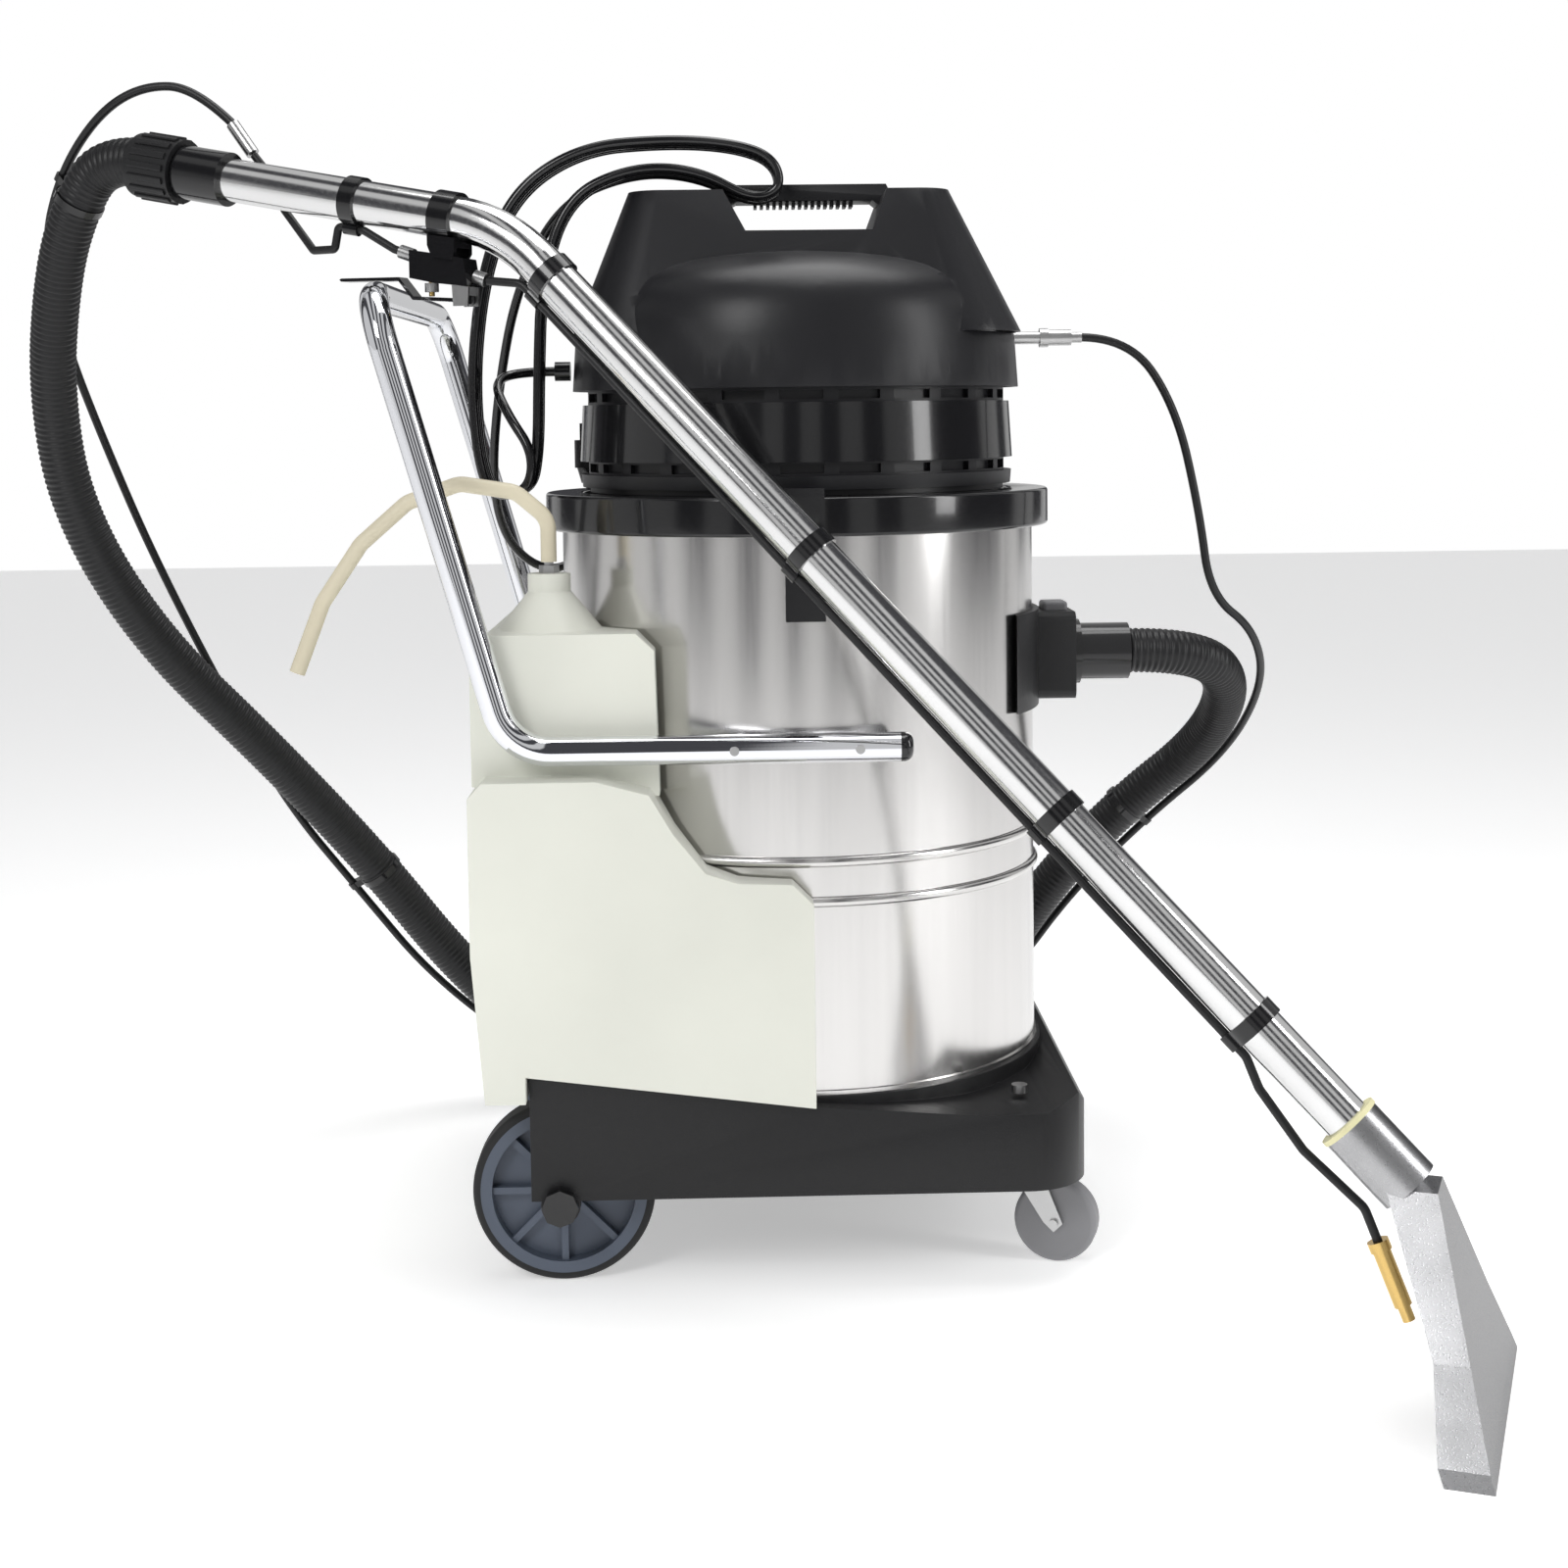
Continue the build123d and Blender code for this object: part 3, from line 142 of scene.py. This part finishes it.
MATERIALS = {
    "base_black": material("base_black", (0.009, 0.009, 0.010), 0.42, bump=0.25, grain=900),
    "head_black": material("head_black", (0.010, 0.010, 0.012), 0.36, bump=0.12, grain=1100),
    "gloss_black": material("gloss_black", (0.008, 0.008, 0.009), 0.16, bump=0.02, coat=0.4),
    "hose_black": material("hose_black", (0.010, 0.010, 0.011), 0.40, bump=0.1, grain=700),
    "steel": material("steel", (0.66, 0.65, 0.64), 0.20, 1.0, shift=0.08, spread=0.05, grain=150, bump=0.015,
                      stretch=(1, 1, 0.03), mottle=14),
    "wand_steel": material("wand_steel", (0.74, 0.74, 0.74), 0.13, 1.0, shift=0.05, grain=300, bump=0.01),
    "chrome": material("chrome", (0.80, 0.81, 0.84), 0.05, 1.0, shift=0.03, spread=0.02, bump=0.004),
    "zinc": material("zinc", (0.50, 0.50, 0.50), 0.30, 1.0, shift=0.15, grain=500),
    "milky": material("milky", (0.80, 0.81, 0.73), 0.34, shift=0.05, bump=0.06, mottle=4),
    "rim_grey": material("rim_grey", (0.10, 0.12, 0.16), 0.38, bump=0.08),
    "tyre_black": material("tyre_black", (0.018, 0.018, 0.019), 0.62, bump=0.2, grain=800),
    "caster_grey": material("caster_grey", (0.24, 0.24, 0.25), 0.55, bump=0.15, grain=700),
    "cream": material("cream", (0.72, 0.66, 0.50), 0.42, shift=0.08, bump=0.05),
    "cast_alu": material("cast_alu", (0.46, 0.46, 0.47), 0.30, 1.0, shift=0.14, spread=0.1, grain=900, bump=0.2,
                         mottle=20),
    "gasket": material("gasket", (0.80, 0.76, 0.46), 0.5, shift=0.06),
    "brass": material("brass", (0.68, 0.47, 0.17), 0.24, 1.0, shift=0.12),
    "button_grey": material("button_grey", (0.20, 0.20, 0.21), 0.4),
    "motor": material("motor", (0.20, 0.20, 0.21), 0.4),
    "ball": material("ball", (0.72, 0.72, 0.70), 0.4),
    "red": material("red", (0.42, 0.02, 0.015), 0.22, coat=0.3),
}


def cast_nozzle():
    """Polished cast aluminium with painted shade on its forward-facing faces, which get a flat dark grey."""
    made = MATERIALS["cast_alu"].copy()
    made.name = "cast_nozzle"
    nodes, links = made.node_tree.nodes, made.node_tree.links
    shader = nodes["Principled BSDF"]
    faces = nodes.new("ShaderNodeNewGeometry")
    facing = nodes.new("ShaderNodeVectorMath")
    facing.operation = "DOT_PRODUCT"
    facing.inputs[1].default_value = (cos(radians(-21.9)) * 0.94, sin(radians(-21.9)) * 0.94, 0.34)
    links.new(faces.outputs["Normal"], facing.inputs[0])
    front_shade = nodes.new("ShaderNodeMapRange")
    front_shade.inputs["From Min"].default_value = 0.80
    front_shade.inputs["From Max"].default_value = 0.90
    links.new(facing.outputs["Value"], front_shade.inputs["Value"])
    colour = nodes.new("ShaderNodeMix")
    colour.data_type = "RGBA"
    polished = nodes["Color Ramp"].outputs["Color"]
    links.new(front_shade.outputs["Result"], colour.inputs["Factor"])
    links.new(polished, colour.inputs[6])
    # painted shade: the forward-facing faces take this flat dark grey in place of the polished colour
    colour.inputs[7].default_value = (0.10, 0.10, 0.105, 1)
    links.new(colour.outputs[2], shader.inputs["Base Color"])
    return made


MATERIALS["cast_nozzle"] = cast_nozzle()
for part in frame["record"]["subparts"]:
    for place in bpy.data.objects[part["node"]].material_slots:
        place.material = MATERIALS[part["material_slot"]]
for place in bpy.data.objects["nozzle"].material_slots:
    place.material = MATERIALS["cast_nozzle"]
for place in bpy.data.objects["solution_coupler"].material_slots:
    place.material = MATERIALS["zinc"]


# ---------------------------------------------------------------- moulded shells with soft edges
def soft_edges(node, slot, body, width, segments, sharpest=35):
    """A rounded copy of a CAD node, shown in its place."""
    source = bpy.data.objects[node]
    mesh = source.data.copy()
    shape = bmesh.new()
    shape.from_mesh(mesh)
    bmesh.ops.remove_doubles(shape, verts=shape.verts, dist=0.00002)
    bmesh.ops.dissolve_limit(shape, angle_limit=radians(1.0), verts=shape.verts, edges=shape.edges)
    shape.to_mesh(mesh)
    shape.free()
    mesh.shade_smooth()
    piece = bpy.data.objects.new(node + "_soft", mesh)
    bpy.context.collection.objects.link(piece)
    rounding = piece.modifiers.new("rounding", "BEVEL")
    rounding.width = width
    rounding.segments = segments
    rounding.limit_method = "ANGLE"
    rounding.angle_limit = radians(sharpest)
    rounding.harden_normals = True
    for place in piece.material_slots:
        place.material = MATERIALS[slot]
    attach(piece, body)
    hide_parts(node)
    return piece


soft_edges("solution_tank", "milky", "machine", 0.009, 4)
soft_edges("base", "base_black", "machine", 0.006, 3)
soft_edges("head_cover", "head_black", "machine", 0.004, 3)
soft_edges("inlet_housing", "base_black", "machine", 0.003, 2)
soft_edges("tank_ring", "gloss_black", "machine", 0.002, 2)


# ---------------------------------------------------------------- hoses and cord
def route(name, points):
    """A smooth curve with the route's points as its control points."""
    line = bpy.data.curves.new(name, "CURVE")
    line.dimensions = "3D"
    line.resolution_u = 12
    spline = line.splines.new("NURBS")
    spline.points.add(len(points) - 1)
    for here, point in zip(spline.points, metres(points)):
        here.co = (*point, 1)
    spline.order_u = 3
    spline.use_endpoint_u = True
    piece = bpy.data.objects.new(name, line)
    bpy.context.collection.objects.link(piece)
    return piece


def centreline(points, step):
    """Evenly spaced points read from the smooth curve."""
    guide = route("guide", points)
    bpy.context.view_layer.update()
    mesh = bpy.data.meshes.new_from_object(guide)
    dots = [vertex.co.copy() for vertex in mesh.vertices]
    bpy.data.objects.remove(guide)
    lengths = [0.0]
    for before, after in zip(dots, dots[1:]):
        lengths.append(lengths[-1] + (after - before).length)
    count = round(lengths[-1] / step)
    spaced, k = [], 0
    for i in range(count + 1):
        target = lengths[-1] * i / count
        while k < len(dots) - 2 and lengths[k + 1] < target:
            k += 1
        share = (target - lengths[k]) / max(1e-9, lengths[k + 1] - lengths[k])
        spaced.append(dots[k].lerp(dots[k + 1], min(1, max(0, share))))
    return spaced, lengths[-1]


def ribbed_tube(name, path, radius_at, sides):
    """Tube along a path whose radius changes from ring to ring."""
    vertices, faces = [], []
    across = Vector((0, 1, 0))
    last = len(path) - 1
    for i, point in enumerate(path):
        along = (path[min(i + 1, last)] - path[max(i - 1, 0)]).normalized()
        across = (across - along * across.dot(along)).normalized()
        other = along.cross(across)
        for k in range(sides):
            angle = 2 * pi * k / sides
            vertices.append(point + (across * cos(angle) + other * sin(angle)) * radius_at(i))
    for i in range(last):
        for k in range(sides):
            nxt = (k + 1) % sides
            faces.append((i * sides + k, i * sides + nxt, (i + 1) * sides + nxt, (i + 1) * sides + k))
    faces.append(tuple(range(sides))[::-1])
    faces.append(tuple(last * sides + k for k in range(sides)))
    mesh = bpy.data.meshes.new(name)
    mesh.from_pydata(vertices, [], faces)
    mesh.shade_smooth()
    piece = bpy.data.objects.new(name, mesh)
    bpy.context.collection.objects.link(piece)
    return piece


RINGS_PER_RIB = 4
RIB_PITCH = 0.0056
RIB_SHAPE = (0.0, 0.7, 1.0, 0.7)
hose_line, hose_length = centreline(SUCTION_PATH, RIB_PITCH / RINGS_PER_RIB)
hose = ribbed_tube("suction_hose_ribbed", hose_line,
                   lambda i: HOSE_R - 0.0018 + 0.0018 * RIB_SHAPE[i % RINGS_PER_RIB], 40)
hose.data.materials.append(MATERIALS["hose_black"])
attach(hose, "machine")
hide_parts("vacuum_hose")


def smooth_cord(name, points, radius, slot, node):
    piece = route(name, points)
    piece.data.bevel_depth = radius
    piece.data.bevel_resolution = 4
    piece.data.use_fill_caps = True
    piece.data.materials.append(MATERIALS[slot])
    length = centreline(points, 0.01)[1]
    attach(piece, "machine")
    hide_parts(node)
    return piece


smooth_cord("solution_line", SOLUTION_PATH, SOLUTION_R, "hose_black", "solution_hose")
smooth_cord("power_lead", CORD_PATH, CORD_R, "gloss_black", "power_cord")

# ---------------------------------------------------------------- studio
bpy.ops.mesh.primitive_plane_add(size=14, location=(0, 3, 0))
floor = bpy.context.object
floor.name = "floor"
floor_white = material("floor_white", (0.93, 0.93, 0.93), 0.8, shift=0.005, bump=0.0)
floor_white.node_tree.nodes["Principled BSDF"].inputs["Emission Color"].default_value = (1, 1, 1, 1)
floor_white.node_tree.nodes["Principled BSDF"].inputs["Emission Strength"].default_value = 0.42
floor.data.materials.append(floor_white)

world = bpy.data.worlds.new("studio")
world.use_nodes = True
links = world.node_tree.links
reflected = world.node_tree.nodes["Background"]
reflected.inputs["Strength"].default_value = 0.62
sky = world.node_tree.nodes.new("ShaderNodeTexCoord")
bands = world.node_tree.nodes.new("ShaderNodeTexWave")
bands.bands_direction = "X"
bands.inputs["Scale"].default_value = 0.9
bands.inputs["Distortion"].default_value = 1.2
bands.inputs["Detail"].default_value = 1.0
bands.inputs["Phase Offset"].default_value = 1.1
panels = world.node_tree.nodes.new("ShaderNodeValToRGB")
panels.color_ramp.elements[0].position = 0.30
panels.color_ramp.elements[0].color = (0.10, 0.10, 0.11, 1)
panels.color_ramp.elements[1].position = 0.62
panels.color_ramp.elements[1].color = (1, 1, 1, 1)
links.new(sky.outputs["Generated"], bands.inputs["Vector"])
links.new(bands.outputs["Fac"], panels.inputs["Fac"])
links.new(panels.outputs["Color"], reflected.inputs["Color"])
backdrop = world.node_tree.nodes.new("ShaderNodeBackground")
backdrop.inputs["Color"].default_value = (1, 1, 1, 1)
backdrop.inputs["Strength"].default_value = 1.0
path_kind = world.node_tree.nodes.new("ShaderNodeLightPath")
pick = world.node_tree.nodes.new("ShaderNodeMixShader")
links.new(path_kind.outputs["Is Camera Ray"], pick.inputs["Fac"])
links.new(reflected.outputs["Background"], pick.inputs[1])
links.new(backdrop.outputs["Background"], pick.inputs[2])
links.new(pick.outputs["Shader"], world.node_tree.nodes["World Output"].inputs["Surface"])
bpy.context.scene.world = world
bpy.context.scene.view_settings.view_transform = "Standard"


def softbox(name, place, target, width, height, power):
    light = bpy.data.lights.new(name, "AREA")
    light.shape = "RECTANGLE"
    light.size, light.size_y, light.energy = width, height, power
    lamp = bpy.data.objects.new(name, light)
    lamp.location = place
    lamp.rotation_euler = (Vector(target) - Vector(place)).to_track_quat("-Z", "Y").to_euler()
    bpy.context.collection.objects.link(lamp)


softbox("key", (-1.5, -2.4, 2.3), (0, 0.1, 0.5), 0.9, 1.4, 34)
softbox("side", (2.4, -0.9, 1.4), (0, 0.2, 0.5), 0.5, 1.8, 22)
softbox("top", (0.2, 0.4, 2.8), (0, 0.2, 0.5), 1.6, 1.6, 30)

VIEW_TURN = 1.5
VIEW_DISTANCE = 2.185
VIEW_HEIGHT = 0.757
VIEW_PITCH = 4.0
VIEW_ROLL = -0.7
camera_data = bpy.data.cameras.new("camera")
camera_data.sensor_width = 36
camera_data.lens = 52.76
camera_data.shift_x = -0.00875
camera_data.shift_y = -0.133
camera = bpy.data.objects.new("camera", camera_data)
turn = radians(VIEW_TURN)
camera.location = AXIS + Vector((-VIEW_DISTANCE * sin(turn), -VIEW_DISTANCE * cos(turn), VIEW_HEIGHT))
facing = Euler((radians(90 - VIEW_PITCH), 0, -turn)).to_matrix()
camera.rotation_euler = (facing @ Matrix.Rotation(radians(VIEW_ROLL), 3, "Z")).to_euler()
bpy.context.collection.objects.link(camera)
bpy.context.scene.camera = camera
